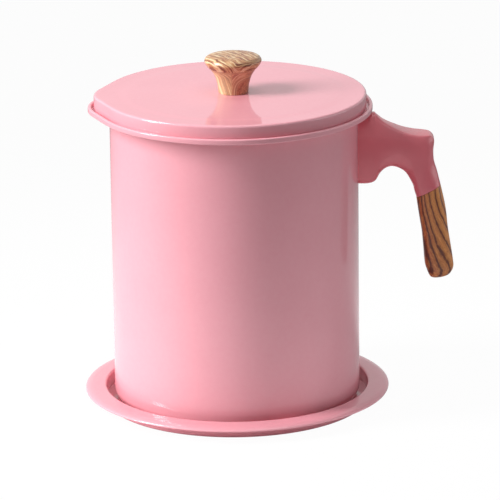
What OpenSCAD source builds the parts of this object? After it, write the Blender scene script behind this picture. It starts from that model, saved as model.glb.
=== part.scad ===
// Lidded grease pot with a drop-in strainer, a pouring spout, a side handle and a drip tray.
// The pot's axis is the Z axis and the tray stands on z = 0.
// The handle points along +X and the spout along -X.

/* [Pot] */
// Outside diameter of the straight wall
body_d = 130; // [110:1:150]
// Height of the pot, from its standing ring to the top of the rim shelf
pot_h = 157; // [135:1:180]
// Thickness of the pot's sheet
pot_t = 0.8; // [0.6:0.1:1.2]
// Outside radius of the rounded bottom edge
pot_edge_r = 7; // [4:0.5:12]
// Height that the middle of the pot's floor is pressed up
floor_press = 1; // [0.4:0.1:2]
// Width of the ring that the pot stands on
stand_ring_w = 8; // [5:0.5:12]
// Distance from the wall to the inner side of the rolled rim
shelf_w = 5.7; // [5:0.1:8]
// Thickness of the rolled rim
rim_t = 1.9; // [1.6:0.1:2.6]
// Height of the rolled rim above the shelf
rim_rise = 2.2; // [1.6:0.1:4]

/* [Spout] */
// How far the spout reaches past the round rim
spout_reach = 3.6; // [2.5:0.1:5]
// Radius of the spout's tip, seen from above
spout_tip_r = 28; // [20:1:34]
// Depth of wall under the shelf that flares into the spout
spout_flare_h = 8.5; // [6:0.5:16]

/* [Lid] */
// Height of the lid's skirt, from the shelf to the lid's edge
lid_h = 8.6; // [7:0.1:12]
// Thickness of the lid's sheet
lid_t = 0.8; // [0.6:0.1:1.2]
// Gap between the lid's skirt and the rolled rim
lid_gap = 1.3; // [0.6:0.1:1.6]
// Radius of the lid's pressed edge
lid_edge_r = 1.3; // [1:0.1:2]
// Height of the lid's raised middle
lid_crown = 0.15; // [0.1:0.05:0.6]
// Width of the flat border round the lid's raised middle
lid_border = 9; // [7:0.5:11]

/* [Knob] */
// Height of the knob
knob_h = 20.1; // [18:0.1:26]
// Largest diameter of the knob's head
knob_head_d = 29.8; // [26:0.2:36]
// Diameter of the knob's foot
knob_foot_d = 15.7; // [13:0.1:18]
// Radius of the lid screw's thread
lid_screw_r = 2; // [1.5:0.1:2.2]
// Radius of the lid screw's head
lid_head_r = 3.6; // [3.4:0.1:4.4]
// Height of the lid screw's head
lid_head_h = 2.2; // [1.6:0.1:2.4]
// Thickness of the washer under the lid
lid_washer_t = 0.8; // [0.5:0.1:1]
// Radius of the washer under the lid
lid_washer_r = 5.5; // [5:0.1:7]
// Radius of the knob's threaded insert
insert_r = 3; // [2.8:0.1:3.4]
// Length of the knob's threaded insert
insert_len = 11; // [8:0.5:13]

/* [Handle] */
// Width of the handle, across the hand
handle_w = 16; // [14:0.5:20]
// Reach of the arm, from the wall to the end of the thumb rest
arm_reach = 39.6; // [34:0.2:46]
// Height of the handle's root on the wall
root_h = 37.2; // [35:0.2:42]
// Distance from the shelf down to the top of the root
root_drop = 3; // [2:0.1:6]
// Length of the wood grip
grip_len = 48; // [38:0.2:60]
// Depth of the grip, from its inner side to its outer side
grip_d = 14.5; // [13:0.1:18]
// Lean of the grip away from the pot
grip_lean = 6.8; // [4:0.2:10]
// Radius of the tang inside the grip
tang_r = 3.6; // [3:0.1:4]
// Length of the tang inside the grip
tang_len = 28; // [20:1:32]

/* [Handle bracket] */
// Width of the bracket that is welded to the wall
bracket_w = 10; // [8:0.5:10.5]
// Height of the bracket
bracket_h = 23; // [20:0.5:24]
// How far the bracket's tabs stand out from the wall
bracket_reach = 6.6; // [6.4:0.1:7]
// Thickness of the bracket's sheet
bracket_t = 1.2; // [1:0.1:1.5]
// Radius of the handle screw's thread
handle_screw_r = 1.5; // [1.2:0.1:1.6]
// Radius of the handle screw's head
handle_head_r = 2.6; // [2.4:0.1:2.8]
// Height of the handle screw's head
handle_head_h = 2; // [1.5:0.1:2.2]
// Distance from the wall to the handle screw
handle_screw_out = 4; // [3.9:0.05:4.2]
// Height of the nut on the bracket
nut_h = 2.4; // [2:0.1:3]

/* [Strainer] */
// Thickness of the strainer's sheet
cup_t = 0.6; // [0.5:0.1:1]
// Depth of the strainer below the shelf
cup_depth = 25; // [20:1:35]
// Gap between the strainer and the pot's wall
cup_gap = 0.6; // [0.4:0.1:1]
// Radius of the strainer's perforated floor
screen_r = 43; // [38:0.5:48]
// Radius of a hole in the perforated floor
hole_r = 1.1; // [0.8:0.1:1.4]
// Spacing of the rings of holes
hole_pitch = 5.2; // [4.4:0.1:7]
// Radius of the wire of the strainer's bail
bail_r = 1.5; // [1.2:0.1:1.8]
// Height of the bail above the perforated floor
bail_h = 25; // [20:0.5:27]

/* [Tray] */
// Thickness of the tray's sheet
tray_t = 1; // [0.8:0.1:1.4]
// Height of the tray at the inner edge of its rim
tray_h = 8.85; // [6:0.05:14]
// Gap between the pot's wall and the wall of the tray
tray_gap = 4.3; // [2.5:0.1:8]
// Width of the tray's flat rim
tray_rim_w = 11.1; // [8:0.1:16]
// How far the tray's rim falls towards its outer edge
tray_rim_fall = 0.8; // [0.4:0.1:2]
// Radius under the bend between the tray's wall and its rim
tray_bend_r = 0.2; // [0.2:0.1:1]

/* [Hidden] */
$fn = 96;

// Fits and small clearances
thread_gap = 0.03;
insert_gap = 0.02;
hole_gap = 0.15;
part_gap = 0.3;
overshoot = 1;
// How far a screw runs past its nut or insert
screw_end = 1.2;

// Colours
pink = "#f5b8c4";
deep_pink = "#c9808c";
steel = "#c3c7cb";
brass = "#c9a24b";
knob_wood = "#c9a56b";
grip_wood = "#9a5b2c";

// Pot
wall_r = body_d / 2;
wall_in_r = wall_r - pot_t;
pot_z = tray_t;
shelf_z = pot_z + pot_h;
shelf_under_z = shelf_z - pot_t;
rim_in_r = wall_r + shelf_w;
rim_r = rim_in_r + rim_t;
rim_top_z = shelf_z + rim_rise;
flare_z = shelf_under_z - spout_flare_h;
rim_corner_r = 0.7;
rim_inner_r = 0.2;
roll_r = rim_t / 2 - 0.2;
shelf_bend_r = 0.9;
// Where the round sheet, the spout's sheet and the lower wall meet, one is drawn in this far,
// and the upper two run on this far inside the lower wall
seam_inset = 0.04;
seam_foot = 0.5;

// Lid
lid_r = rim_in_r - lid_gap;
lid_z = shelf_z + lid_h;
crown_r = lid_r - lid_border;
crown_step_w = 6;
plate_z = lid_z + lid_crown;
plate_under_z = plate_z - lid_t;

// Spout, as a tip circle joined to the round rim by two tangents
tip_out = lid_r + spout_reach - spout_tip_r;
spout_half = acos((lid_r - spout_tip_r) / tip_out);
tip_half = atan2(spout_tip_r * sin(spout_half), tip_out + spout_tip_r * cos(spout_half));
spout_span = spout_half + 3;
spout_steps = 18;
// The round sheet runs this many degrees over the spout's ends, which are drawn in to meet it
seam_lap = 0.3;

// Strainer
flange_gap = 0.6;
flange_r = lid_r - lid_t - flange_gap;
cup_r = wall_in_r - cup_gap;
cup_floor_z = shelf_z - cup_depth;
cup_lip_w = 2.5;
// The bowl's side: straight under the flange, then bulging, then bent to the floor
cup_bend_r = 0.6;
bowl_straight = 5;
bowl_bulge = 3;
bowl_margin = 1;
screen_t = 0.6;
screen_z = cup_floor_z + cup_t;
hole_rings = floor((screen_r - cup_lip_w - 2 * hole_r) / hole_pitch);

// Lid screw
lid_washer_z = plate_under_z - lid_washer_t;
lid_screw_len = lid_washer_t + lid_t + insert_len + screw_end;

// Handle
root_top_z = shelf_z - root_drop;
root_under_z = root_top_z - root_h;
screw_well = 3.2;
seat_t = 2;
// How far the tang is rooted in the arm, and its bore is cut past the grip's skewed end
tang_root = 4;
bore_end = 6;
seat_z = root_under_z + screw_well;
bracket_z = seat_z + seat_t;
screw_x = wall_r + handle_screw_out;
handle_washer_t = 0.5;
handle_screw_len = handle_washer_t + seat_t + bracket_t + nut_h + screw_end;
nut_wall = 1.2;

// Points of a circular arc in the plane of a profile
function arc(centre, r, from, to, steps) =
    [for (i = [0:steps]) let (a = from + (to - from) * i / steps)
        centre + r * [cos(a), sin(a)]];

function reversed(list) = [for (i = [len(list) - 1:-1:0]) list[i]];

// A smooth curve through points of any number of coordinates
function spline_at(a, b, c, d, t) =
    0.5 * (2 * b + (c - a) * t + (2 * a - 5 * b + 4 * c - d) * t * t
           + (3 * b - a - 3 * c + d) * t * t * t);
function spline(points, steps) =
    let (last = len(points) - 1)
    concat(
        [for (i = [0:last - 1]) for (j = [0:steps - 1])
            spline_at(points[max(i - 1, 0)], points[i], points[i + 1],
                      points[min(i + 2, last)], j / steps)],
        [points[last]]);

// How far the spout stands out of the round rim, at an angle from its middle
function spout_bump(a) =
    let (b = abs(a))
    b >= spout_half ? 0
    : b >= tip_half ? lid_r / cos(spout_half - b) - lid_r
    : tip_out * cos(b) + sqrt(pow(spout_tip_r, 2) - pow(tip_out * sin(b), 2)) - lid_r;

// A sheet between two chains of points, as one closed outline. Seen with the axis on the left,
// the first chain has the sheet on its left side.
function sheet(outer, inner) = concat(outer, reversed(inner));

// The sheet turned about the axis, all round but for the spout
module round_sheet(outer, inner) {
    rotate_extrude(angle = 360 - 2 * (spout_span - seam_lap), start = 180 + spout_span - seam_lap)
        polygon(sheet(outer, inner));
}

// An outline of a sheet, drawn in a little all round. m is the length of each of its chains.
function drawn_in(outline, m) =
    let (n = len(outline))
    [for (k = [0:n - 1])
        let (p = outline[k], facing = outline[n - 1 - k] - p,
             next = k == 0 || k == m ? outline[k + 1] - p
                  : k == m - 1 || k == n - 1 ? outline[k - 1] - p : [0, 0])
        p + seam_inset * facing / norm(facing)
          + (next == [0, 0] ? [0, 0] : seam_inset * next / norm(next))];

// The same sheet across the spout. Each point moves out by the bump times its weight.
module spout_sheet(outer, inner, outer_weights, inner_weights) {
    outline = sheet(outer, inner);
    weights = concat(outer_weights, reversed(inner_weights));
    n = len(outline);
    m = len(outer);
    rings = [for (i = [0:spout_steps])
        let (a = spout_span * (2 * i / spout_steps - 1), bump = spout_bump(a),
             line = i == 0 || i == spout_steps ? drawn_in(outline, m) : outline)
        [for (k = [0:n - 1])
            let (r = line[k].x + weights[k] * bump)
            [-r * cos(a), -r * sin(a), line[k].y]]];
    points = [for (ring = rings) each ring];
    sides = [for (i = [0:spout_steps - 1]) for (k = [0:n - 1])
        let (a = i * n + k, b = i * n + (k + 1) % n)
        each [[a, b, a + n], [b, b + n, a + n]]];
    first = [for (k = [0:m - 2])
        let (a = k, b = k + 1, c = n - 2 - k, d = n - 1 - k)
        each [[a, c, b], [a, d, c]]];
    end = spout_steps * n;
    last = [for (f = first) [end + f[0], end + f[2], end + f[1]]];
    polyhedron(points, concat(sides, first, last));
}

// A closed skin over rings of points that all have the same count, with flat ends
module skin(rings) {
    n = len(rings[0]);
    last = len(rings) - 1;
    points = [for (ring = rings) each ring];
    sides = [for (i = [0:last - 1]) for (k = [0:n - 1])
        let (a = i * n + k, b = i * n + (k + 1) % n)
        each [[a, b, a + n], [b, b + n, a + n]]];
    half = n / 2;
    first = [for (k = [0:half - 2])
        let (a = k, b = k + 1, c = n - 2 - k, d = n - 1 - k)
        each [[a, c, b], [a, d, c]]];
    end = last * n;
    cap = [for (f = first) [end + f[0], end + f[2], end + f[1]]];
    polyhedron(points, concat(sides, first, cap));
}

// Half the outline of a round vessel with a rounded bottom edge
module vessel(r, edge_r, bottom, top) {
    translate([0, bottom])
        square([r - edge_r, top - bottom]);
    translate([0, bottom + edge_r])
        square([r, top - bottom - edge_r]);
    translate([r - edge_r, bottom + edge_r])
        circle(edge_r);
}

// ---------------------------------------------------------------- tray

module tray() {
    wall_in = wall_r + tray_gap;
    wall_out = wall_in + tray_t;
    corner_r = 0.4;
    corner = [wall_in - corner_r, tray_t + corner_r];
    bend_r = tray_bend_r + tray_t;
    bend = [wall_in + bend_r, tray_h - bend_r];
    lip_r = tray_t * 0.8;
    lip = [wall_in + tray_rim_w - lip_r, tray_h - tray_rim_fall - lip_r];
    outline = concat(
        [[0, 0]],
        arc(corner, corner_r + tray_t, -90, 0, 6),
        arc(bend, tray_bend_r, 180, 90, 3),
        arc(lip, lip_r, -90, 80, 8),
        arc(bend, bend_r, 90, 180, 6),
        arc(corner, corner_r, 0, -90, 3),
        [[0, tray_t]]);
    color(pink)
        rotate_extrude()
            polygon(outline);
}

// ---------------------------------------------------------------- pot

// Outer and inner side of the pot's top: wall, shelf and rolled rim
wall_levels = 4;
function pot_top_wall(r, inset) = concat(
    [[r + inset, flare_z - seam_foot], [r + inset, flare_z]],
    [for (i = [1:wall_levels - 1])
        [r, flare_z + (shelf_under_z - shelf_bend_r - flare_z) * i / wall_levels]]);
function pot_top_outer() = concat(
    pot_top_wall(wall_r, -seam_inset),
    arc([wall_r + shelf_bend_r, shelf_under_z - shelf_bend_r], shelf_bend_r, 180, 90, 3),
    arc([rim_r - rim_corner_r, shelf_under_z + rim_corner_r], rim_corner_r, -90, 0, 3),
    arc([rim_r - roll_r, rim_top_z - roll_r], roll_r, 0, 90, 4));
function pot_top_inner() = concat(
    pot_top_wall(wall_in_r, seam_inset),
    arc([wall_r + shelf_bend_r, shelf_under_z - shelf_bend_r], shelf_bend_r + pot_t, 180, 90, 3),
    arc([rim_in_r - rim_inner_r, shelf_z + rim_inner_r], rim_inner_r, -90, 0, 3),
    arc([rim_in_r + roll_r, rim_top_z - roll_r], roll_r, 180, 90, 4));
function flare_weight(z) = pow(min(max((z - flare_z) / (shelf_under_z - flare_z), 0), 1), 3);

// Half the outline of the floor's middle, pressed up inside the ring that the pot stands on
function pressed_floor(flat_r, ring_r) =
    let (low = pot_z, high = pot_z + floor_press)
    [[0, high], [flat_r, high], [ring_r, low],
     [ring_r, low + pot_t], [flat_r, high + pot_t], [0, high + pot_t]];

module pot() {
    outer = pot_top_outer();
    inner = pot_top_inner();
    ring_r = wall_r - pot_edge_r - stand_ring_w;
    color(pink) {
        rotate_extrude() {
            difference() {
                vessel(wall_r, pot_edge_r, pot_z, flare_z);
                vessel(wall_in_r, pot_edge_r - pot_t, pot_z + pot_t, flare_z + overshoot);
                translate([0, pot_z - overshoot])
                    square([ring_r, pot_t + 2 * overshoot]);
            }
            polygon(pressed_floor(ring_r - 2 * floor_press, ring_r));
        }
        round_sheet(outer, inner);
        spout_sheet(outer, inner,
                    [for (p = outer) flare_weight(p.y)], [for (p = inner) flare_weight(p.y)]);
    }
}

// ---------------------------------------------------------------- handle

// Stations of the arm, from the wall to the seam with the grip. Each one runs from a point on
// the outer outline to a point on the inner one. In turn: outer point out (as a share of
// arm_reach) and down (share of root_h), inner point out and down, half width of the outer end
// and depth of its rounding (both as shares of half the handle's width), and the same two for
// the inner end.
arm_stations = [
    [-0.10, 0.00, -0.10, 1.00, 0.16, 1.50, 0.60, 0.44],
    [ 0.19, 0.00,  0.12, 1.00, 0.16, 1.50, 0.60, 0.44],
    [ 0.24, 0.03,  0.22, 0.96, 0.18, 1.38, 0.60, 0.56],
    [ 0.35, 0.13,  0.28, 0.86, 0.42, 0.88, 0.55, 0.88],
    [ 0.56, 0.24,  0.35, 0.79, 0.72, 0.38, 0.50, 1.12],
    [ 0.73, 0.29,  0.44, 0.76, 0.84, 0.20, 0.50, 1.19],
    [ 0.86, 0.305, 0.54, 0.79, 0.82, 0.22, 0.50, 1.00],
    [ 0.95, 0.32,  0.62, 0.85, 0.60, 0.50, 0.50, 0.81],
    [ 1.00, 0.39,  0.68, 0.95, 0.40, 0.81, 0.50, 0.62],
    [ 0.99, 0.55,  0.72, 1.04, 0.35, 0.81, 0.50, 0.52],
    [ 1.00, 0.71,  0.735, 1.11, 0.35, 0.79, 0.50, 0.50],
    [ 1.04, 0.86,  0.75, 1.165, 0.36, 0.75, 0.50, 0.50]];

// Middle of the seam between the arm and the grip, and the grip's own directions
seam = [wall_r + arm_reach * 0.922, root_top_z - root_h * 1.127];
along = [sin(grip_lean), -cos(grip_lean)];
across = [cos(grip_lean), sin(grip_lean)];
seam_skew = 2.4;

// Stations of the grip. In turn: distance along it (share of grip_len), outer and inner side
// (share of half the grip's depth), half width and half width of the ends (share of half the
// handle's width), and depth of the rounding of both ends (share of half the grip's depth).
grip_stations = [
    [0.00, 0.92, 0.92, 1.00, 0.42, 0.68],
    [0.24, 1.09, 0.88, 0.98, 0.40, 0.70],
    [0.45, 1.08, 0.83, 0.96, 0.40, 0.70],
    [0.66, 1.13, 0.86, 0.96, 0.40, 0.70],
    [0.81, 1.16, 0.90, 0.97, 0.40, 0.72],
    [0.885, 1.14, 0.82, 0.94, 0.38, 0.72],
    [0.94, 0.98, 0.73, 0.84, 0.34, 0.66],
    [0.98, 0.74, 0.62, 0.66, 0.26, 0.50],
    [1.00, 0.42, 0.44, 0.42, 0.16, 0.32]];

// One ring of the handle between two points of its outline, in the XZ plane. Its ends are
// rounded, and a crease makes the rounding meet the flat side at an angle.
ends_steps = [0, 0.06, 0.25, 0.58, 1];
arm_crease = 0.35;
function rounded(f, crease) = crease * f + (1 - crease) * sqrt(1 - pow(1 - f, 2));
function handle_ring(outer, inner, half, outer_end, outer_depth, inner_end, inner_depth, crease) =
    let (
        run = norm(inner - outer),
        dir = (inner - outer) / run,
        side = concat(
            [for (f = ends_steps)
                [outer_depth * f, outer_end + (half - outer_end) * rounded(f, crease)]],
            [for (f = reversed(ends_steps))
                [run - inner_depth * f, inner_end + (half - inner_end) * rounded(f, crease)]]),
        all = concat(side, [for (p = reversed(side)) [p.x, -p.y]]))
    [for (p = all) [outer.x + dir.x * p.x, p.y, outer.y + dir.y * p.x]];

function arm_ring(s) =
    let (half = handle_w / 2)
    handle_ring(
        [wall_r + arm_reach * s[0], root_top_z - root_h * s[1]],
        [wall_r + arm_reach * s[2], root_top_z - root_h * s[3]],
        half, half * s[4], half * s[5], half * s[6], half * s[7], arm_crease);

function grip_ring(s) =
    let (
        half = handle_w / 2,
        deep = grip_d / 2,
        skew = seam_skew * pow(1 - s[0], 3),
        middle = seam + along * grip_len * s[0])
    handle_ring(
        middle + across * deep * s[1] - along * skew,
        middle - across * deep * s[2] + along * skew,
        half * s[3], half * s[4], deep * s[5], half * s[4], deep * s[5], 0);

arm_rings = concat([for (s = spline(arm_stations, 3)) arm_ring(s)], [grip_ring(grip_stations[0])]);
grip_rings = [for (s = spline(grip_stations, 3)) grip_ring(s)];

// Turns a piece that stands on z = 0 so that it runs from the seam into the grip
module along_grip() {
    translate([seam.x, 0, seam.y])
        rotate([0, 180 - grip_lean, 0])
            children();
}

module handle_arm() {
    pocket_w = bracket_w + 2 * part_gap;
    pocket_h = bracket_h + part_gap;
    color(deep_pink)
        difference() {
            union() {
                skin(arm_rings);
                along_grip()
                    translate([0, 0, -tang_root])
                        cylinder(r = tang_r, h = tang_len + tang_root);
            }
            cylinder(r = wall_r, h = shelf_z);
            translate([wall_in_r - overshoot, -pocket_w / 2, bracket_z])
                cube([bracket_reach + pot_t + overshoot + part_gap, pocket_w, pocket_h]);
            translate([screw_x, 0, root_under_z - overshoot])
                cylinder(r = handle_head_r + part_gap, h = seat_z - root_under_z + overshoot);
            translate([screw_x, 0, root_under_z])
                cylinder(r = handle_screw_r + hole_gap, h = bracket_z - root_under_z + overshoot);
        }
}

module handle_grip() {
    color(grip_wood)
        difference() {
            skin(grip_rings);
            along_grip()
                translate([0, 0, -bore_end])
                    cylinder(r = tang_r + thread_gap, h = tang_len + bore_end + part_gap);
        }
}

module handle_bracket() {
    tab_x = wall_r + bracket_t / 2;
    color(steel)
        difference() {
            union() {
                intersection() {
                    difference() {
                        translate([0, 0, bracket_z])
                            cylinder(r = wall_r + bracket_t, h = bracket_h);
                        translate([0, 0, bracket_z - overshoot])
                            cylinder(r = wall_r, h = bracket_h + 2 * overshoot);
                    }
                    translate([0, -bracket_w / 2, bracket_z])
                        cube([2 * wall_r, bracket_w, bracket_h]);
                }
                for (z = [bracket_z, bracket_z + bracket_h - bracket_t])
                    translate([tab_x, -bracket_w / 2, z])
                        cube([wall_r + bracket_reach - tab_x, bracket_w, bracket_t]);
            }
            translate([screw_x, 0, bracket_z - overshoot])
                cylinder(r = handle_screw_r + thread_gap, h = bracket_t + 2 * overshoot);
        }
}

module handle_nut() {
    color(steel)
        translate([screw_x, 0, bracket_z + bracket_t])
            difference() {
                cylinder(r = handle_screw_r + nut_wall, h = nut_h, $fn = 6);
                translate([0, 0, -overshoot])
                    cylinder(r = handle_screw_r + thread_gap, h = nut_h + 2 * overshoot);
            }
}

module handle_washer() {
    color(steel)
        translate([screw_x, 0, seat_z - handle_washer_t])
            difference() {
                cylinder(r = handle_head_r, h = handle_washer_t);
                translate([0, 0, -overshoot])
                    cylinder(r = handle_screw_r + hole_gap, h = handle_washer_t + 2 * overshoot);
            }
}

// A pan-head screw that points up from the underside of its head, with a cross slot
module screw(shank_r, shank_len, head_r, head_h) {
    slot = [head_r * 1.2, head_r * 0.24, head_h * 0.5];
    difference() {
        union() {
            translate([0, 0, -head_h])
                cylinder(r1 = head_r * 0.86, r2 = head_r, h = head_h * 0.4);
            translate([0, 0, -head_h * 0.6])
                cylinder(r = head_r, h = head_h * 0.6);
            cylinder(r = shank_r, h = shank_len);
        }
        for (turn = [0, 90])
            rotate([0, 0, turn])
                translate([-slot.x / 2, -slot.y / 2, -head_h - slot.z])
                    cube([slot.x, slot.y, 2 * slot.z]);
    }
}

module handle_screw() {
    color(steel)
        translate([screw_x, 0, seat_z - handle_washer_t])
            screw(handle_screw_r, handle_screw_len, handle_head_r, handle_head_h);
}

// ---------------------------------------------------------------- strainer

module strainer_cup() {
    low = [screen_r + bowl_margin, cup_floor_z];
    high = [cup_r, shelf_z - bowl_straight];
    middle = (low + high) / 2 + [bowl_bulge, -bowl_bulge] / 2;
    side = spline([high, middle, low + [2, 1] * cup_bend_r], 5);
    inward = [-0.85, 0.5] * cup_t;
    lip_r = screen_r - cup_lip_w;
    outer = concat([[flange_r, shelf_z], [cup_r + cup_bend_r, shelf_z],
                    [cup_r, shelf_z - cup_bend_r]],
                   side, [low, [lip_r, cup_floor_z]]);
    inner = concat([[flange_r, shelf_z + cup_t], [cup_r + cup_bend_r / 2, shelf_z + cup_t],
                    [cup_r - cup_t, shelf_z - cup_bend_r / 2]],
                   [for (p = side) p + inward],
                   [low + [0, cup_t], [lip_r, cup_floor_z + cup_t]]);
    color(steel)
        rotate_extrude()
            polygon(sheet(outer, inner));
}

module strainer_screen() {
    color(steel)
        translate([0, 0, screen_z])
            difference() {
                cylinder(r = screen_r, h = screen_t);
                for (ring = [1:hole_rings])
                    for (i = [0:6 * ring - 1])
                        rotate([0, 0, 60 * i / ring])
                            translate([ring * hole_pitch, 0, -overshoot])
                                cylinder(r = hole_r, h = screen_t + 2 * overshoot, $fn = 16);
            }
}

module strainer_bail() {
    foot_z = screen_z + screen_t;
    bend_r = 8;
    leg_x = screen_r - bail_r - bowl_margin;
    top_z = foot_z + bail_h - bail_r;
    color(steel) {
        for (side = [-1, 1]) {
            translate([side * leg_x, 0, foot_z])
                cylinder(r = bail_r, h = bail_h - bail_r - bend_r);
            translate([side * (leg_x - bend_r), 0, top_z - bend_r])
                rotate([90, 0, 0])
                    rotate_extrude(angle = 90, start = side > 0 ? 0 : 90)
                        translate([bend_r, 0])
                            circle(bail_r);
        }
        translate([-(leg_x - bend_r), 0, top_z])
            rotate([0, 90, 0])
                cylinder(r = bail_r, h = 2 * (leg_x - bend_r));
    }
}

// ---------------------------------------------------------------- lid

// The lid's profile, from the screw's hole over the raised middle to the foot of the skirt, on
// the outer side of the sheet or on its inner side
function lid_side(depth) = concat(
    [[lid_screw_r + hole_gap, plate_z - depth], [crown_r - crown_step_w, plate_z - depth],
     [crown_r, lid_z - depth]],
    arc([lid_r - lid_edge_r, lid_z - lid_edge_r], lid_edge_r - depth, 90, 0, 6),
    [[lid_r - depth, shelf_z]]);

module lid() {
    outer = lid_side(0);
    inner = lid_side(lid_t);
    weights = [for (p = outer) p.x > crown_r ? 1 : 0];
    color(pink) {
        round_sheet(inner, outer);
        spout_sheet(inner, outer, weights, weights);
    }
}

module lid_washer() {
    color(steel)
        translate([0, 0, lid_washer_z])
            difference() {
                cylinder(r = lid_washer_r, h = lid_washer_t);
                translate([0, 0, -overshoot])
                    cylinder(r = lid_screw_r + hole_gap, h = lid_washer_t + 2 * overshoot);
            }
}

module lid_screw() {
    color(steel)
        translate([0, 0, lid_washer_z])
            screw(lid_screw_r, lid_screw_len, lid_head_r, lid_head_h);
}

module knob_insert() {
    color(brass)
        translate([0, 0, plate_z])
            difference() {
                cylinder(r = insert_r, h = insert_len);
                translate([0, 0, -overshoot])
                    cylinder(r = lid_screw_r + thread_gap, h = insert_len + 2 * overshoot);
            }
}

// Half outline of the knob: a waisted stem under a broad flat head.
// Radii are shares of the head's radius past the foot, heights are shares of the knob's height.
knob_stations = [[0.00, 0.00], [0.02, 0.10], [0.08, 0.25], [0.20, 0.40], [0.36, 0.52],
                 [0.56, 0.62], [0.80, 0.71], [0.96, 0.80], [1.00, 0.86], [0.92, 0.92]];

module lid_knob() {
    foot_r = knob_foot_d / 2;
    head_r = knob_head_d / 2;
    side = [for (s = spline(knob_stations, 4)) [foot_r + (head_r - foot_r) * s[0], knob_h * s[1]]];
    top = [[head_r * 0.86, knob_h * 0.965], [head_r * 0.6, knob_h * 0.993], [0, knob_h]];
    color(knob_wood)
        translate([0, 0, plate_z])
            difference() {
                rotate_extrude()
                    polygon(concat([[0, 0]], side, top));
                translate([0, 0, -overshoot])
                    cylinder(r = insert_r + insert_gap, h = insert_len + overshoot);
                cylinder(r = lid_screw_r + hole_gap, h = insert_len + 2 * screw_end);
            }
}

tray();
pot();
handle_bracket();
handle_nut();
handle_screw();
handle_washer();
handle_arm();
handle_grip();
strainer_cup();
strainer_screen();
strainer_bail();
lid();
lid_washer();
lid_screw();
knob_insert();
lid_knob();
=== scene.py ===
import math

import bpy
import numpy as np
from mathutils import Matrix, Vector


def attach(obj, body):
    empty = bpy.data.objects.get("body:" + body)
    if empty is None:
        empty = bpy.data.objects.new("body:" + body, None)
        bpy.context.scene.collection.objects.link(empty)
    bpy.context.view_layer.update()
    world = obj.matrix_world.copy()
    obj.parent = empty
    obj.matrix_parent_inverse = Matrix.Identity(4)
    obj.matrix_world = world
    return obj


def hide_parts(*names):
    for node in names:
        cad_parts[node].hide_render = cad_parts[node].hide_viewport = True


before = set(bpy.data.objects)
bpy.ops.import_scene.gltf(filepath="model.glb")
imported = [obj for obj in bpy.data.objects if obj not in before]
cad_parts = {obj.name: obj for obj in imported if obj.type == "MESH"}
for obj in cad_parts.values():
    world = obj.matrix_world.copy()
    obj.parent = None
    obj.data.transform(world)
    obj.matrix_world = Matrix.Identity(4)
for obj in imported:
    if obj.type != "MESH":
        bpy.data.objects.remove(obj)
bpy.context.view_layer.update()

MM = 0.001
TO_MM = 1 / MM


def add_object(name, data):
    """A new object in the scene."""
    made = bpy.data.objects.new(name, data)
    bpy.context.scene.collection.objects.link(made)
    return made


# ---------------------------------------------------------------- sizes

# The driving sizes of the CAD model, which the pieces below follow, in mm (the lean in radians)
BODY_D, POT_H, POT_T, POT_EDGE_R = 130.0, 157.0, 0.8, 7.0
FLOOR_PRESS, STAND_RING_W = 1.0, 8.0
SHELF_W, SHELF_BEND_R = 5.7, 0.9
RIM_T, RIM_RISE, RIM_CORNER_R, RIM_INNER_R = 1.9, 2.2, 0.7, 0.2
SPOUT_REACH, SPOUT_TIP_R, SPOUT_FLARE_H = 3.6, 28.0, 8.5
LID_H, LID_T, LID_GAP, LID_EDGE_R, LID_HOLE_R = 8.6, 0.8, 1.3, 1.3, 2.15
LID_CROWN, LID_BORDER, CROWN_STEP_W = 0.15, 9.0, 6.0
KNOB_H, KNOB_HEAD_D, KNOB_FOOT_D = 20.1, 29.8, 15.7
HANDLE_W, ARM_REACH, ROOT_H, ROOT_DROP = 16.0, 39.6, 37.2, 3.0
GRIP_LEN, GRIP_D, GRIP_LEAN = 48.0, 14.5, math.radians(6.8)
TRAY_T, TRAY_H, TRAY_GAP, TRAY_RIM_W = 1.0, 8.85, 4.3, 11.1
TRAY_CORNER_R, TRAY_BEND_R = 0.4, 0.2

# Places on the pot and its tray
POT_Z = TRAY_T
WALL_R = BODY_D / 2
WALL_IN_R = WALL_R - POT_T
TRAY_IN_R = WALL_R + TRAY_GAP
STAND_RING_R = WALL_R - POT_EDGE_R - STAND_RING_W
SHELF_Z = POT_Z + POT_H
SHELF_UNDER_Z = SHELF_Z - POT_T
FLARE_Z = SHELF_UNDER_Z - SPOUT_FLARE_H
RIM_IN_R = WALL_R + SHELF_W
RIM_R = RIM_IN_R + RIM_T
RIM_TOP_Z = SHELF_Z + RIM_RISE
RIM_ROLL_R = RIM_T / 2 - 0.2

# Places on the lid, and the spout as an arc about a point inside the lid's edge
LID_R = RIM_IN_R - LID_GAP
LID_Z = SHELF_Z + LID_H
PLATE_Z = LID_Z + LID_CROWN
CROWN_R = LID_R - LID_BORDER
TIP_OUT = LID_R + SPOUT_REACH - SPOUT_TIP_R
SPOUT_HALF = math.acos((LID_R - SPOUT_TIP_R) / TIP_OUT)
TIP_HALF = math.atan2(SPOUT_TIP_R * math.sin(SPOUT_HALF),
                      TIP_OUT + SPOUT_TIP_R * math.cos(SPOUT_HALF))

# Places on the handle, in the XZ plane: the top of its root, the middle of the seam between
# arm and grip by shares of the reach and of the root's height, and the grip's own directions
ROOT_TOP_Z = SHELF_Z - ROOT_DROP
SEAM = np.array([WALL_R + ARM_REACH * 0.922, ROOT_TOP_Z - ROOT_H * 1.127])
ALONG = np.array([math.sin(GRIP_LEAN), -math.cos(GRIP_LEAN)])
ACROSS = np.array([math.cos(GRIP_LEAN), math.sin(GRIP_LEAN)])


# ---------------------------------------------------------------- camera

# Angles in degrees, the place in mm
CAMERA_ELEVATION, CAMERA_ROLL = 16.323, -0.711
CAMERA_PLACE = (7.634, -2326.4, 762.0)
SENSOR_W, LENS = 36, 331.12


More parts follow.
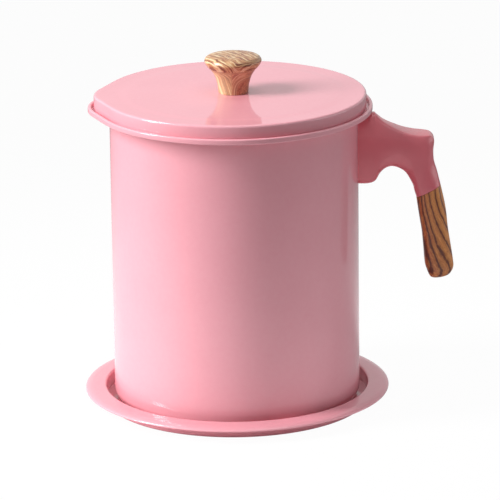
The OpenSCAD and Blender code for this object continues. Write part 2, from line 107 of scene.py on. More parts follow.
def make_camera():
    """The photograph's camera, solved from the ellipses of the lid, the rim and the tray."""
    elevation, roll = math.radians(CAMERA_ELEVATION), math.radians(CAMERA_ROLL)
    view = Vector((0, math.cos(elevation), -math.sin(elevation)))
    side = Vector((1, 0, 0))
    up = side.cross(view)
    right = math.cos(roll) * side + math.sin(roll) * up
    up = -math.sin(roll) * side + math.cos(roll) * up
    matrix = Matrix((right, up, -view)).transposed().to_4x4()
    matrix.translation = Vector(CAMERA_PLACE) * MM
    camera = add_object("camera", bpy.data.cameras.new("camera"))
    camera.data.sensor_width = SENSOR_W
    camera.data.lens = LENS
    camera.data.clip_start, camera.data.clip_end = 0.1, 20
    camera.matrix_world = matrix
    bpy.context.scene.camera = camera


# ---------------------------------------------------------------- node trees

def linear(color):
    """An sRGB colour, 0 to 255, as the linear colour that a shader takes."""
    parts = [c / 255 for c in color]
    return tuple(p / 12.92 if p <= 0.04045 else ((p + 0.055) / 1.055) ** 2.4
                 for p in parts) + (1.0,)


def new_material(name):
    """A material with an empty node tree."""
    material = bpy.data.materials.new(name)
    material.use_nodes = True
    material.node_tree.nodes.clear()
    return material


class Nodes:
    """A node tree, with short calls for its nodes. A value is a constant or a node's output."""

    def __init__(self, tree):
        self.tree = tree

    def put(self, socket, value):
        if isinstance(value, bpy.types.NodeSocket):
            self.tree.links.new(value, socket)
        else:
            socket.default_value = value

    def node(self, kind, inputs=(), output=0, **settings):
        made = self.tree.nodes.new("ShaderNode" + kind)
        for key, value in settings.items():
            setattr(made, key, value)
        for key, value in dict(inputs).items():
            self.put(made.inputs[key], value)
        return made.outputs[output]

    def surface(self, shader):
        """Takes a shader to the material's output."""
        out = self.tree.nodes.new("ShaderNodeOutputMaterial")
        self.put(out.inputs[0], shader)

    def point(self):
        return self.node("TexCoord", output="Object")

    def split(self, point):
        return [self.node("SeparateXYZ", {0: point}, output=i) for i in range(3)]

    def join(self, *parts):
        """A point from three values, each times its own factor."""
        return self.node("CombineXYZ", enumerate([self.math("MULTIPLY", *p) for p in parts]))

    def math(self, operation, *values):
        return self.node("Math", enumerate(values), operation=operation)

    def vector(self, operation, *values, output=0):
        return self.node("VectorMath", enumerate(values), output, operation=operation)

    def noise(self, point, scale, detail, roughness=0.5):
        return self.node("TexNoise", {"Vector": point, "Scale": scale, "Detail": detail,
                                      "Roughness": roughness})

    def remap(self, value, low, high, to_low=0.0, to_high=1.0, smooth=True):
        return self.node("MapRange", {0: value, 1: low, 2: high, 3: to_low, 4: to_high},
                         interpolation_type="SMOOTHSTEP" if smooth else "LINEAR")

    def between(self, factor, a, b):
        """A number between two numbers."""
        return self.node("Mix", {0: factor, 2: a, 3: b}, data_type="FLOAT")

    def mix(self, factor, a, b):
        """A colour between two colours."""
        return self.node("Mix", {0: factor, 6: a, 7: b}, output=2, data_type="RGBA")

    def ramp(self, value, stops):
        made = self.tree.nodes.new("ShaderNodeValToRGB")
        ramp = made.color_ramp
        while len(ramp.elements) < len(stops):
            ramp.elements.new(0.5)
        for element, (place, color) in zip(ramp.elements, stops):
            element.position = place
            element.color = linear(color)
        self.put(made.inputs[0], value)
        return made.outputs[0]


class Shader(Nodes):
    """A material of one Principled shader. What is the same all over is set on its sockets."""

    def __init__(self, name, **fixed):
        self.material = new_material(name)
        super().__init__(self.material.node_tree)
        self.main = self.tree.nodes.new("ShaderNodeBsdfPrincipled")
        self.surface(self.main.outputs[0])
        for socket, value in fixed.items():
            self.feed(socket.replace("_", " "), value)

    def feed(self, socket, value):
        self.put(self.main.inputs[socket], value)

    def bump(self, height, distance, strength):
        self.feed("Normal", self.node("Bump", {"Height": height, "Distance": distance,
                                               "Strength": strength}))


# ---------------------------------------------------------------- materials

# How square the arches on the knob's stem are: 2 is round
ARCH_POWER = 2.6
# The dark lines of the grip: where each lies across it and how wide it is, in mm
GRIP_LINES = [(1.1, 0.7), (2.5, 0.9), (4.1, 1.0), (6.7, 1.1), (9.8, 1.0), (12.4, 0.9),
              (15.0, 1.0)]
# How far inwards of the seam's middle those places are measured from, in mm
GRIP_LINES_FROM = 6.4


def enamel(name, color, dark):
    """Baked enamel over sheet metal: a soft ground, a gloss coat and a trace of orange peel."""
    paint = Shader(name, Roughness=0.7, IOR=2.0, Specular_IOR_Level=0.5, Coat_Weight=0.85,
                   Coat_Roughness=0.035, Coat_IOR=1.5)
    point = paint.point()
    cloud = paint.remap(paint.noise(point, 28, 2), 0.3, 0.7)
    paint.feed("Base Color", paint.mix(cloud, linear(dark), linear(color)))
    paint.feed("Roughness", paint.remap(paint.noise(point, 420, 3), 0.3, 0.7, 0.65, 0.75))
    paint.bump(paint.noise(point, 500, 2), 0.00003, 0.15)
    return paint.material


def moulding(name, color, dark):
    """Moulded thermoset plastic with a fine, even spark-eroded skin."""
    plastic = Shader(name, Roughness=0.36, Coat_Weight=0.35, Coat_Roughness=0.12)
    point = plastic.point()
    cloud = plastic.remap(plastic.noise(point, 60, 3), 0.3, 0.7)
    plastic.feed("Base Color", plastic.mix(cloud, linear(dark), linear(color)))
    plastic.feed("Roughness", plastic.remap(plastic.noise(point, 900, 2), 0.3, 0.7, 0.32, 0.44))
    plastic.bump(plastic.noise(point, 2600, 2), 0.00004, 0.3)
    return plastic.material


def walnut(name):
    """The grip: dark lines that fan out and sweep outwards down the grip, over a pored ground."""
    wood = Shader(name, Roughness=0.45, Coat_Weight=0.2, Coat_Roughness=0.22)
    point = wood.point()
    x, y, z = wood.split(point)
    # In mm: across from the inner side, along from the seam, and through from the front
    across = wood.math("MULTIPLY_ADD", x, TO_MM * ACROSS[0], GRIP_LINES_FROM - SEAM @ ACROSS)
    across = wood.math("MULTIPLY_ADD", z, TO_MM * ACROSS[1], across)
    along = wood.math("MULTIPLY_ADD", x, TO_MM * ALONG[0], -(SEAM @ ALONG))
    along = wood.math("MULTIPLY_ADD", z, TO_MM * ALONG[1], along)
    through = wood.math("MULTIPLY_ADD", y, TO_MM, HANDLE_W / 2)
    # The flow is the same all along one line of the grain
    warp = wood.noise(wood.vector("MULTIPLY", point, (90.0, 90.0, 30.0)), 1.0, 2)
    warp = wood.math("MULTIPLY_ADD", warp, 2.0, -1.0)
    fan = wood.math("MULTIPLY_ADD", wood.math("MULTIPLY", along, along), 0.0012, 1.0)
    flow = wood.math("DIVIDE", across, fan)
    flow = wood.math("ADD", flow, wood.math("MULTIPLY_ADD", through, 0.22, warp))
    fibre_at = wood.join((flow, 2.6), (through, 1.2), (along, 0.34))
    fibre = wood.noise(fibre_at, 1.0, 4, 0.65)
    # The distance to the nearest dark line, in widths of that line
    near = None
    for place, width in GRIP_LINES:
        gap = wood.math("ABSOLUTE", wood.math("SUBTRACT", flow, place))
        gap = wood.math("DIVIDE", gap, width)
        near = gap if near is None else wood.math("MINIMUM", near, gap)
    near = wood.math("MULTIPLY_ADD", wood.math("SUBTRACT", fibre, 0.5), 0.9, near)
    line = wood.remap(near, 0.42, 0.12)
    halo = wood.remap(near, 1.4, 0.25)
    pores = wood.noise(wood.vector("MULTIPLY", fibre_at, (2.2, 2.2, 2.6)), 1.0, 2, 0.6)
    pores = wood.remap(pores, 0.60, 0.70)
    outer = wood.remap(across, 1.0, 8.5)
    color = wood.mix(outer, linear((202, 96, 58)), linear((214, 134, 72)))
    color = wood.mix(wood.remap(fibre, 0.35, 0.7), color, linear((232, 160, 90)))
    color = wood.mix(wood.math("MULTIPLY", halo, 0.55), color, linear((152, 82, 44)))
    color = wood.mix(wood.math("MULTIPLY", pores, 0.7), color, linear((122, 64, 34)))
    color = wood.mix(wood.math("MULTIPLY", line, 0.95), color, linear((92, 38, 20)))
    wood.feed("Base Color", color)
    wood.feed("Roughness", wood.remap(fibre, 0.3, 0.7, 0.38, 0.54))
    dents = wood.math("ADD", wood.math("MULTIPLY", line, -0.6), wood.math("MULTIPLY", pores, -0.5))
    wood.bump(dents, 0.00012, 0.5)
    return wood.material


def knob_wood(name):
    """The knob: cream and brown streaks over the head, a fan of lines down the left of the
    stem, and arches over a darker patch on its right. Painted light and shade on top: the head
    and stem paler on their lit left, the stem warmer on its shaded right, the patch partly shade."""
    wood = Shader(name, Roughness=0.4, Coat_Weight=0.25, Coat_Roughness=0.18)
    point = wood.point()
    x, y, z = wood.split(point)
    # In mm: u to the right, v to the back and h up from the lid
    u = wood.math("MULTIPLY", x, TO_MM)
    v = wood.math("MULTIPLY", y, TO_MM)
    h = wood.math("MULTIPLY_ADD", z, TO_MM, -PLATE_Z)
    warp = wood.noise(point, 130.0, 2)
    warp = wood.math("MULTIPLY_ADD", warp, 4.4, -2.2)
    # Left of the seam the lines steepen down the stem
    off = wood.math("MULTIPLY_ADD", u, -1.0, -0.8)
    high = wood.math("MAXIMUM", wood.math("SUBTRACT", h, 9.0), 0.0)
    left = wood.math("MULTIPLY_ADD", h, -0.28, off)
    left = wood.math("MULTIPLY_ADD", wood.math("MULTIPLY", high, high), -0.25, left)
    left = wood.math("MULTIPLY_ADD", warp, 0.28, left)
    # Right of it they arch over the patch
    du = wood.math("ABSOLUTE", wood.math("MULTIPLY", wood.math("SUBTRACT", u, 9.0), 1.15))
    dh = wood.math("MAXIMUM", h, 0.0)
    arch = wood.math("ADD", *(wood.math("POWER", d, ARCH_POWER) for d in (du, dh)))
    arch = wood.math("POWER", arch, 1 / ARCH_POWER)
    arch = wood.math("MULTIPLY_ADD", warp, 0.22, arch)
    side = wood.remap(off, -0.35, 0.35)
    stem = wood.between(side, arch, left)
    # Over the head they run from the back left to the front right, and turn back on its right
    low = wood.math("MINIMUM", wood.math("SUBTRACT", h, 19.0), 0.0)
    turn = wood.math("MULTIPLY", wood.remap(wood.math("MULTIPLY_ADD", warp, 0.8, u), -1.0, 6.0),
                     wood.remap(h, 19.6, 17.5))
    tilt = wood.between(turn, 0.9, -0.75)
    head = wood.math("MULTIPLY", wood.math("SUBTRACT", u, 2.5), tilt)
    head = wood.math("MULTIPLY_ADD", v, 0.62, head)
    head = wood.math("MULTIPLY_ADD", low, 0.95, head)
    head = wood.math("MULTIPLY", wood.math("MULTIPLY_ADD", warp, 0.9, head), 0.8)
    above = wood.remap(wood.math("MULTIPLY_ADD", warp, 0.25, h), 12.0, 13.6)
    flow = wood.between(above, stem, head)
    # The grain: even bands, streaks along the flow, and flecks
    bands = wood.math("SINE", wood.math("MULTIPLY", flow, 2.7))
    bands = wood.remap(bands, -1.0, 1.0, smooth=False)
    streaks = wood.noise(wood.join((flow, 1.3), (u, 0.10), (v, 0.10)), 1.0, 4, 0.62)
    fleck = wood.noise(point, 900.0, 3, 0.6)
    grain = wood.math("MULTIPLY_ADD", bands, 0.3, wood.math("MULTIPLY", streaks, 2.6))
    grain = wood.math("MULTIPLY_ADD", wood.math("SUBTRACT", fleck, 0.5), 0.3, grain)
    grain = wood.math("SUBTRACT", grain, 1.04)
    # Painted light: the grain is lifted towards cream over the head's lit left
    grain = wood.math("MULTIPLY_ADD", wood.math("MULTIPLY", above, side), 0.08, grain)
    color = wood.ramp(grain, [(0.08, (104, 52, 30)), (0.30, (162, 102, 64)),
                              (0.52, (200, 152, 104)), (0.76, (224, 202, 160))])
    # Painted light and shade: the stem is paler on its lit left, and warmer on its shaded right
    # with a painted pink reflection. The patch low on the right is partly painted shade
    below = wood.math("SUBTRACT", 1.0, above)
    shaded_right_stem = wood.math("MULTIPLY", wood.math("SUBTRACT", 1.0, side), below)
    lit_left_stem = wood.math("MULTIPLY", side, below)
    # The patch inside the arches: the wood's figure, darkened further by painted shade
    inside = wood.math("MULTIPLY", wood.remap(arch, 8.6, 7.8), shaded_right_stem)
    patch = wood.mix(wood.remap(fleck, 0.35, 0.65), linear((158, 84, 54)),
                     linear((200, 124, 88)))
    color = wood.mix(wood.math("MULTIPLY", shaded_right_stem, 0.45), color, linear((212, 152, 120)))
    color = wood.mix(wood.math("MULTIPLY", lit_left_stem, 0.35), color, linear((236, 204, 158)))
    color = wood.mix(wood.math("MULTIPLY", inside, 0.85), color, patch)
    wood.feed("Base Color", color)
    wood.feed("Roughness", wood.remap(fleck, 0.3, 0.7, 0.34, 0.48))
    wood.bump(grain, 0.00005, 0.35)
    return wood.material


def stainless(name):
    """Stainless sheet, spun: fine rings of brushing round the pot's axis."""
    metal = Shader(name, Metallic=1.0, Roughness=0.26)
    x, y, z = metal.split(metal.point())
    radius = metal.math("SQRT", metal.math("ADD", *(metal.math("MULTIPLY", d, d) for d in (x, y))))
    turn = metal.math("ARCTAN2", y, x)
    fineness = 2600.0
    rings = metal.join((radius, fineness), (z, fineness), (turn, 3.0))
    brushed = metal.noise(rings, 1.0, 3, 0.6)
    metal.feed("Base Color", metal.mix(brushed, linear((186, 186, 184)), linear((214, 214, 212))))
    metal.feed("Roughness", metal.remap(brushed, 0.3, 0.7, 0.2, 0.34))
    metal.bump(brushed, 0.00002, 0.5)
    return metal.material


def plated(name, color, roughness):
    """A small plated fastener, slightly dulled."""
    metal = Shader(name, Metallic=1.0, Roughness=roughness)
    cloud = metal.noise(metal.point(), 900, 3)
    dull = linear([c * 0.86 for c in color])
    metal.feed("Base Color", metal.mix(cloud, dull, linear(color)))
    metal.feed("Roughness", metal.remap(cloud, 0.3, 0.7, roughness * 0.8, roughness * 1.4))
    return metal.material


# ---------------------------------------------------------------- meshes

# Edges that turn by more than this stay sharp, in degrees: on new meshes and on the CAD's
CREASE, CAD_CREASE = 38, 35


def smooth_over(mesh, crease):
    mesh.shade_smooth()
    mesh.set_sharp_from_angle(angle=math.radians(crease))


def add_mesh(name, points, faces, material, body, nodes):
    """A smooth-shaded piece that rides on a body and stands for CAD nodes. Points are in mm."""
    mesh = bpy.data.meshes.new(name)
    mesh.from_pydata([Vector(p) * MM for p in points], [], faces)
    mesh.validate()
    smooth_over(mesh, CREASE)
    mesh.materials.append(material)
    piece = add_object(name, mesh)
    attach(piece, body)
    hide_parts(*nodes)


def dress(node, material):
    """Gives a CAD node that stays its finish, smooth but for its real edges."""
    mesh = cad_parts[node].data
    mesh.materials.clear()
    mesh.materials.append(material)
    smooth_over(mesh, CAD_CREASE)


def arc(centre, radius, start, end, steps):
    """Points of a circular arc in the plane of a profile, in degrees."""
    turns = [math.radians(start + (end - start) * i / steps) for i in range(steps + 1)]
    return [(centre[0] + radius * math.cos(t), centre[1] + radius * math.sin(t)) for t in turns]


def spline(points, steps):
    """A Catmull-Rom curve through points of any number of coordinates."""
    p = np.array(points, float)
    last = len(p) - 1
    out = []
    for i in range(last):
        a, b, c, d = p[max(i - 1, 0)], p[i], p[i + 1], p[min(i + 2, last)]
        for j in range(steps):
            t = j / steps
            out.append(0.5 * (2 * b + (c - a) * t + (2 * a - 5 * b + 4 * c - d) * t * t
                              + (3 * b - a - 3 * c + d) * t ** 3))
    return out + [p[last]]


def spout_bump(angle):
    """How far the spout stands out of the round rim, at an angle from its middle."""
    off = abs(angle)
    if off >= SPOUT_HALF:
        return 0.0
    if off >= TIP_HALF:
        return LID_R / math.cos(SPOUT_HALF - off) - LID_R
    return (TIP_OUT * math.cos(off)
            + math.sqrt(SPOUT_TIP_R ** 2 - (TIP_OUT * math.sin(off)) ** 2) - LID_R)


def turned(profile, weights=None, steps=360, closed=True):
    """Points and faces of a profile of (radius, height) turned about the axis. Each point
    moves out by the spout's bump times its weight. A point on the axis becomes a pole."""
    weights = weights or [0.0] * len(profile)
    points, rings = [], []
    for (r, z), weight in zip(profile, weights):
        if r < 1e-6:
            rings.append([len(points)] * steps)
            points.append((0.0, 0.0, z))
            continue
        rings.append(list(range(len(points), len(points) + steps)))
        for i in range(steps):
            a = 2 * math.pi * i / steps
            off = math.remainder(a - math.pi, 2 * math.pi)
            out = r + weight * spout_bump(off)
            points.append((out * math.cos(a), out * math.sin(a), z))
    faces = []
    pairs = list(zip(rings, rings[1:])) + ([(rings[-1], rings[0])] if closed else [])
    for low, high in pairs:
        if low[0] == low[1] and high[0] == high[1]:
            continue
        for i in range(steps):
            j = (i + 1) % steps
            face = [low[i], low[j], high[j], high[i]]
            faces.append([v for k, v in enumerate(face) if v != face[k - 1]])
    return points, faces


# ---------------------------------------------------------------- tray, pot, lid and knob

# The tray's lip, rounder than the CAD model's: half the width and height of its ellipse, and
# the heights of the ellipse's middle and of the lip's underside, in mm
LIP_W, LIP_H, LIP_Z, LIP_UNDER_Z = 5.4, 1.9, 6.7, 6.42
# The bevel at the foot of the lid's skirt, in mm
LID_BEVEL = 0.25


def make_tray(material):
    """The tray, underside first. Its lip turns down as a quarter of an ellipse."""
    corner = (TRAY_IN_R - TRAY_CORNER_R, TRAY_T + TRAY_CORNER_R)
    bend = (TRAY_IN_R + TRAY_T + TRAY_BEND_R, TRAY_H - TRAY_T - TRAY_BEND_R)
    lip_r = TRAY_IN_R + TRAY_RIM_W
    hem = [(lip_r - 1.0, LIP_UNDER_Z), (lip_r - 0.3, LIP_UNDER_Z),
           (lip_r - 0.08, LIP_UNDER_Z + 0.08)]
    turns = [math.radians(4.5 * i) for i in range(20)]
    lip = [(lip_r - LIP_W + LIP_W * math.cos(turn), LIP_Z + LIP_H * math.sin(turn))
           for turn in turns]
    profile = ([(r, 0) for r in (0, 40, 66)]
               + arc(corner, TRAY_CORNER_R + TRAY_T, -90, 0, 8)
               + [(TRAY_IN_R + TRAY_T, 4.0)]
               + arc(bend, TRAY_BEND_R, 180, 90, 4)
               + hem + lip
               + arc(bend, TRAY_BEND_R + TRAY_T, 90, 180, 10)
               + [(TRAY_IN_R, 4.0)]
               + arc(corner, TRAY_CORNER_R, 0, -90, 6)
               + [(r, TRAY_T) for r in (66, 40, 0)])
    points, faces = turned(profile)
    add_mesh("tray_sheet", points, faces, material, "tray", ["tray"])


def flare(z):
    """The share of the spout's bump that the pot has at a height."""
    return min(max((z - FLARE_Z) / (SHELF_UNDER_Z - FLARE_Z), 0), 1) ** 3


def make_pot(material):
    """The pot: pressed-up floor, standing ring, wall, shelf and rolled rim, outside and inside."""
    edge = (WALL_R - POT_EDGE_R, POT_Z + POT_EDGE_R)
    bend = (WALL_R + SHELF_BEND_R, SHELF_UNDER_Z - SHELF_BEND_R)
    roll_z = RIM_TOP_Z - RIM_ROLL_R
    floor = ([(r, POT_Z + FLOOR_PRESS) for r in (0, 30, STAND_RING_R - 2 * FLOOR_PRESS)]
             + [(r, POT_Z) for r in (STAND_RING_R, edge[0] - 1)])
    heights = [20.0, 80.0, 140.0] + [FLARE_Z + (bend[1] - FLARE_Z) * i / 8 for i in range(8)]
    outer = (floor
             + arc(edge, POT_EDGE_R, -90, 0, 16)
             + [(WALL_R, z) for z in heights]
             + arc(bend, SHELF_BEND_R, 180, 90, 6)
             + arc((RIM_R - RIM_CORNER_R, SHELF_UNDER_Z + RIM_CORNER_R), RIM_CORNER_R, -90, 0, 6)
             + arc((RIM_R - RIM_ROLL_R, roll_z), RIM_ROLL_R, 0, 90, 8))
    inner = ([(r, z + POT_T) for r, z in floor]
             + arc(edge, POT_EDGE_R - POT_T, -90, 0, 12)
             + [(WALL_IN_R, z) for z in heights]
             + arc(bend, SHELF_BEND_R + POT_T, 180, 90, 6)
             + arc((RIM_IN_R - RIM_INNER_R, SHELF_Z + RIM_INNER_R), RIM_INNER_R, -90, 0, 3)
             + arc((RIM_IN_R + RIM_ROLL_R, roll_z), RIM_ROLL_R, 180, 90, 8))
    profile = outer + inner[::-1]
    points, faces = turned(profile, [flare(z) for _, z in profile])
    add_mesh("pot_shell", points, faces, material, "pot", ["pot"])


def make_lid(material):
    """The lid: a plate with a hole and a low crown, a rounded edge, and the skirt, which follows
    the spout as all outside the crown does."""
    def side(depth):
        fall = [3 * (i / 10) ** 2 - 2 * (i / 10) ** 3 for i in range(11)]
        return ([(r, PLATE_Z - depth) for r in (LID_HOLE_R, 20, 45)]
                + [(CROWN_R - CROWN_STEP_W + CROWN_STEP_W * i / 10,
                    PLATE_Z - depth - LID_CROWN * share) for i, share in enumerate(fall)]
                + [(r, LID_Z - depth) for r in (64.0, 67.0)]
                + arc((LID_R - LID_EDGE_R, LID_Z - LID_EDGE_R), LID_EDGE_R - depth, 90, 0, 10)
                + [(LID_R - depth, z) for z in (163.0, 159.5, SHELF_Z + LID_BEVEL)])
    foot = [(LID_R - LID_BEVEL, SHELF_Z), (LID_R - LID_T + LID_BEVEL, SHELF_Z)]
    profile = side(0) + foot + side(LID_T)[::-1]
    points, faces = turned(profile, [1.0 if r > CROWN_R + 1 else 0.0 for r, _ in profile])
    add_mesh("lid_sheet", points, faces, material, "lid", ["lid"])


# Up the knob's side and over its top. First how far from the foot's radius to the head's, or
# the share of the head's radius over the top, and then the share of the height
KNOB_SIDE = [(0.00, 0.00), (0.02, 0.10), (0.08, 0.25), (0.20, 0.40), (0.36, 0.52),
             (0.56, 0.62), (0.80, 0.71), (0.96, 0.80), (1.00, 0.86), (0.92, 0.92)]
KNOB_TOP = [(0.86, 0.965), (0.6, 0.993), (0.3, 0.999), (0, 1)]


def make_knob(material):
    """The knob. The foot's bevel takes the place of the first two points of the side."""
    foot_r, head_r = KNOB_FOOT_D / 2, KNOB_HEAD_D / 2
    foot = [(0, 0), (foot_r - 0.3, 0), (foot_r - 0.08, 0.08), (foot_r, 0.3)]
    side = [(foot_r + (head_r - foot_r) * out, KNOB_H * up) for out, up in spline(KNOB_SIDE, 8)]
    top = [side[-1]] + [(head_r * out, KNOB_H * up) for out, up in KNOB_TOP]
    profile = foot + side[2:] + [tuple(p) for p in spline(top, 6)[1:]]
    points, faces = turned([(r, PLATE_Z + z) for r, z in profile], steps=160, closed=False)
    add_mesh("knob_turning", points, faces, material, "lid",
             ["lid_knob", "knob_insert"])


# ---------------------------------------------------------------- handle

# Each section of the arm: x and z of its outer and of its inner point, as shares of the reach
# and of the root's height, then the half width and the depth of the rounding at each of the
# two points, as shares of the handle's half width
ARM_STATIONS = [
    [-0.10, 0.00, -0.10, 1.00, 0.16, 1.50, 0.60, 0.44],
    [0.19, 0.00, 0.12, 1.00, 0.16, 1.50, 0.60, 0.44],
    [0.24, 0.03, 0.22, 0.96, 0.18, 1.38, 0.60, 0.56],
    [0.35, 0.13, 0.28, 0.86, 0.42, 0.88, 0.55, 0.88],
    [0.56, 0.24, 0.35, 0.79, 0.72, 0.38, 0.50, 1.12],
    [0.73, 0.29, 0.44, 0.76, 0.84, 0.20, 0.50, 1.19],
    [0.86, 0.305, 0.54, 0.79, 0.82, 0.22, 0.50, 1.00],
    [0.95, 0.32, 0.62, 0.85, 0.60, 0.50, 0.50, 0.81],
    [1.00, 0.39, 0.68, 0.95, 0.40, 0.81, 0.50, 0.62],
    [0.99, 0.55, 0.72, 1.04, 0.35, 0.81, 0.50, 0.52],
    [1.00, 0.71, 0.735, 1.11, 0.35, 0.79, 0.50, 0.50],
    [1.04, 0.86, 0.75, 1.165, 0.36, 0.75, 0.50, 0.50]]
# Each section of the grip: how far down it is, how far its outer and its inner point are from
# the middle, and the half width, all as shares, then the half width and the depth of the
# rounding at both points
GRIP_STATIONS = [
    [0.00, 0.92, 0.92, 1.00, 0.42, 0.68],
    [0.24, 1.09, 0.88, 0.98, 0.40, 0.70],
    [0.45, 1.08, 0.83, 0.96, 0.40, 0.70],
    [0.66, 1.13, 0.86, 0.96, 0.40, 0.70],
    [0.81, 1.16, 0.90, 0.97, 0.40, 0.72],
    [0.885, 1.14, 0.82, 0.94, 0.38, 0.72],
    [0.94, 0.98, 0.73, 0.84, 0.34, 0.66],
    [0.98, 0.74, 0.62, 0.66, 0.26, 0.50],
    [1.00, 0.42, 0.44, 0.42, 0.16, 0.32]]
# How sharply the arm's flat sides meet their rounding, from 0 to 1
ARM_CREASE = 0.35
# How far, in mm, the outer end of the seam is above its middle and the inner end below it
SEAM_SKEW = 2.4
# The rounded edge on either side of the seam, in mm: how far back from it and how far drawn in
SEAM_LIPS = [(0.35, 0.0), (0.08, 0.05), (0.02, 0.3)]
# How deep the arm's root goes into the pot's wall, and how far from it the next section is, in mm
ROOT_SINK, ROOT_CLEAR = 0.05, 0.2
# Points of a rounding, as shares of its depth
ROUNDING = [1 - math.cos(math.pi / 2 * i / 10) for i in range(11)]


def handle_ring(outer, inner, half, outer_end, outer_depth, inner_end, inner_depth, crease):
    """One section of the handle between two points of its outline, in the XZ plane. Its ends
    are rounded, and a crease makes the rounding meet the flat side at an angle."""
    run = np.linalg.norm(inner - outer)
    direction = (inner - outer) / run
    rise = [crease * f + (1 - crease) * math.sqrt(max(1 - (1 - f) ** 2, 0)) for f in ROUNDING]
    side = [(outer_depth * f, outer_end + (half - outer_end) * g)
            for f, g in zip(ROUNDING, rise)]
    side += [(run - inner_depth * f, inner_end + (half - inner_end) * g)
             for f, g in zip(ROUNDING[::-1], rise[::-1])]
    ring = side + [(d, -w) for d, w in side[::-1]]
    return [(outer[0] + direction[0] * d, w, outer[1] + direction[1] * d) for d, w in ring]


def arm_ring(station):
    outer_x, outer_z, inner_x, inner_z, *rounding = station
    half = HANDLE_W / 2
    outer = np.array([WALL_R + ARM_REACH * outer_x, ROOT_TOP_Z - ROOT_H * outer_z])
    inner = np.array([WALL_R + ARM_REACH * inner_x, ROOT_TOP_Z - ROOT_H * inner_z])
    return handle_ring(outer, inner, half, *(half * share for share in rounding), ARM_CREASE)


def grip_ring(station):
    down, outer_off, inner_off, wide, end, depth = station
    half, deep = HANDLE_W / 2, GRIP_D / 2
    middle = SEAM + ALONG * GRIP_LEN * down
    skew = ALONG * SEAM_SKEW * (1 - down) ** 3
    return handle_ring(middle + ACROSS * deep * outer_off - skew,
                       middle - ACROSS * deep * inner_off + skew,
                       half * wide, half * end, deep * depth, half * end, deep * depth, 0)


def seam_lip(ring, towards, back, inset):
    """The ring moved a little towards another ring and drawn in, for a seam's rounded edge."""
    ring, towards = np.array(ring), np.array(towards)
    step, inward = (way / np.linalg.norm(way, axis=1, keepdims=True)
                    for way in (towards - ring, ring.mean(0) - ring))
    return [tuple(p) for p in ring + step * back + inward * inset]


def skin(rings):
    """Points and faces of a closed skin over rings that have the same number of points."""
    n = len(rings[0])
    points = [p for ring in rings for p in ring]
    faces = [[i * n + k, i * n + (k + 1) % n, (i + 1) * n + (k + 1) % n, (i + 1) * n + k]
             for i in range(len(rings) - 1) for k in range(n)]
    start = list(range(n))[::-1]
    end = list(range(len(points) - n, len(points)))
    return points, faces + [start, end]


def make_arm(material):
    """The arm, from its root on the pot's round wall to the seam."""
    rings = [arm_ring(station) for station in spline(ARM_STATIONS, 8)]
    root = [(math.sqrt(WALL_R ** 2 - y ** 2) - ROOT_SINK, y, z) for _, y, z in rings[0]]
    clear = [ring for ring in rings[1:] if min(p[0] for p in ring) > WALL_R + ROOT_CLEAR]
    seam = grip_ring(GRIP_STATIONS[0])
    lips = [seam_lip(seam, rings[-1], back, inset) for back, inset in SEAM_LIPS]
    points, faces = skin([root] + clear + lips)
    add_mesh("arm_moulding", points, faces, material, "pot",
             ["handle_arm"])


def make_grip(material):
    """The grip, from the seam down to its rounded end."""
    rings = [grip_ring(station) for station in spline(GRIP_STATIONS, 8)]
    lips = [seam_lip(rings[0], rings[1], back, inset) for back, inset in SEAM_LIPS[::-1]]
    points, faces = skin(lips + rings[1:])
    add_mesh("grip_turning", points, faces, material, "pot", ["handle_grip"])


# ---------------------------------------------------------------- studio

# The world's own light, and how much of its white shows in reflections
WORLD_LIGHT, WORLD_GLOSS = 0.10, 0.85
# The floor: half its width and how far it lies under the tray, in m, and the share of its seen
# colour that is a plain white
FLOOR_HALF, FLOOR_DROP, FLOOR_WHITE = 3, 0.0002, 0.97
# Where the floor's light starts to fall and where it has fallen, in m from the middle
FALL_FROM, FALL_TO = 0.1, 0.6
# What the lamps point at, in m
AIM = (0, 0, 0.1)


def falloff(nodes, near, far):
    """A value near the object and another far from it, by the distance from the middle."""
    away = nodes.vector("LENGTH", nodes.point(), output="Value")
    return nodes.remap(away, FALL_FROM, FALL_TO, near, far)


def seen_color(nodes, seen, lit, gloss):
    """Mixes two colours by ray: one for the camera, gloss and glass, one for the light.
    Gloss is how much of the seen colour shows in reflections."""
    glossy, camera, glass = (nodes.node("LightPath", output=ray) for ray in
                             ("Is Glossy Ray", "Is Camera Ray", "Is Transmission Ray"))
    share = nodes.math("MAXIMUM", nodes.math("MULTIPLY_ADD", glossy, gloss, camera), glass)
    return nodes.mix(share, lit, seen)


def make_world():
    """Faint, even light from all round, which is seen as white."""
    world = bpy.data.worlds.new("studio")
    world.use_nodes = True
    nodes = Nodes(world.node_tree)
    light = (WORLD_LIGHT, WORLD_LIGHT, WORLD_LIGHT * 1.02, 1)
    color = seen_color(nodes, (1, 1, 1, 1), light, WORLD_GLOSS)
    nodes.put(nodes.tree.nodes["Background"].inputs[0], color)
    bpy.context.scene.world = world


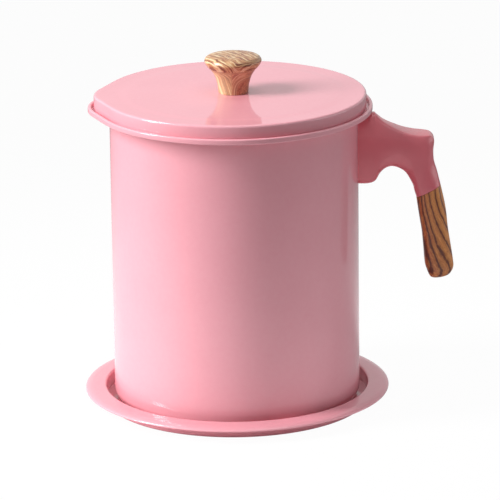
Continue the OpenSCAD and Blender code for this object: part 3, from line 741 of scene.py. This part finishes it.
def make_floor():
    """A pale floor that shows white, less what the object's shadow takes."""
    material = new_material("floor")
    nodes = Nodes(material.node_tree)
    matte = nodes.node("BsdfDiffuse", {0: falloff(nodes, 0.95, 0.2)})
    glow = nodes.node("Emission")
    share = seen_color(nodes, (FLOOR_WHITE, FLOOR_WHITE, FLOOR_WHITE, 1), (0, 0, 0, 1),
                       falloff(nodes, 0.14, 0.12))
    nodes.surface(nodes.node("MixShader", {0: share, 1: matte, 2: glow}))
    mesh = bpy.data.meshes.new("floor")
    corners = [(-1, -1), (1, -1), (1, 1), (-1, 1)]
    mesh.from_pydata([(FLOOR_HALF * x, FLOOR_HALF * y, 0) for x, y in corners],
                     [], [(0, 1, 2, 3)])
    mesh.materials.append(material)
    floor = add_object("floor", mesh)
    floor.location.z = -FLOOR_DROP


def softbox(name, place, size, watts):
    """A rectangular lamp with its place and size in m."""
    lamp = bpy.data.lights.new(name, "AREA")
    lamp.shape = "RECTANGLE"
    lamp.size, lamp.size_y = size
    lamp.energy = watts
    holder = add_object(name, lamp)
    holder.location = place
    way = Vector(AIM) - Vector(place)
    holder.rotation_euler = way.to_track_quat("-Z", "Y").to_euler()


# ---------------------------------------------------------------- the scene

bpy.context.scene.view_settings.view_transform = "Standard"
make_camera()
make_world()
make_floor()
softbox("key", place=(-1.40, -0.34, 0.96), size=(0.5, 1.2), watts=46)
softbox("front", place=(-0.1, -0.95, 1.35), size=(0.8, 0.8), watts=1)
softbox("top", place=(0.1, 0.1, 1.5), size=(1.6, 0.5), watts=5.5)
softbox("side", place=(1.6, 0.0, 0.25), size=(1.2, 0.8), watts=5)

pink = enamel("pink_enamel", (228, 148, 161), (226, 145, 158))
deep_pink = moulding("deep_pink_plastic", (230, 115, 127), (226, 110, 122))
grip_wood = walnut("grip_walnut")
turned_wood = knob_wood("knob_grain_and_painted_shade")
steel = stainless("stainless_sheet")
screw_steel = plated("plated_screw", (205, 206, 210), 0.22)

make_tray(pink)
make_pot(pink)
make_lid(pink)
make_knob(turned_wood)
make_arm(deep_pink)
make_grip(grip_wood)
for node in ("strainer_cup", "strainer_screen", "strainer_bail"):
    dress(node, steel)
for node in ("handle_bracket", "handle_nut", "handle_screw", "handle_washer",
             "lid_washer", "lid_screw"):
    dress(node, screw_steel)
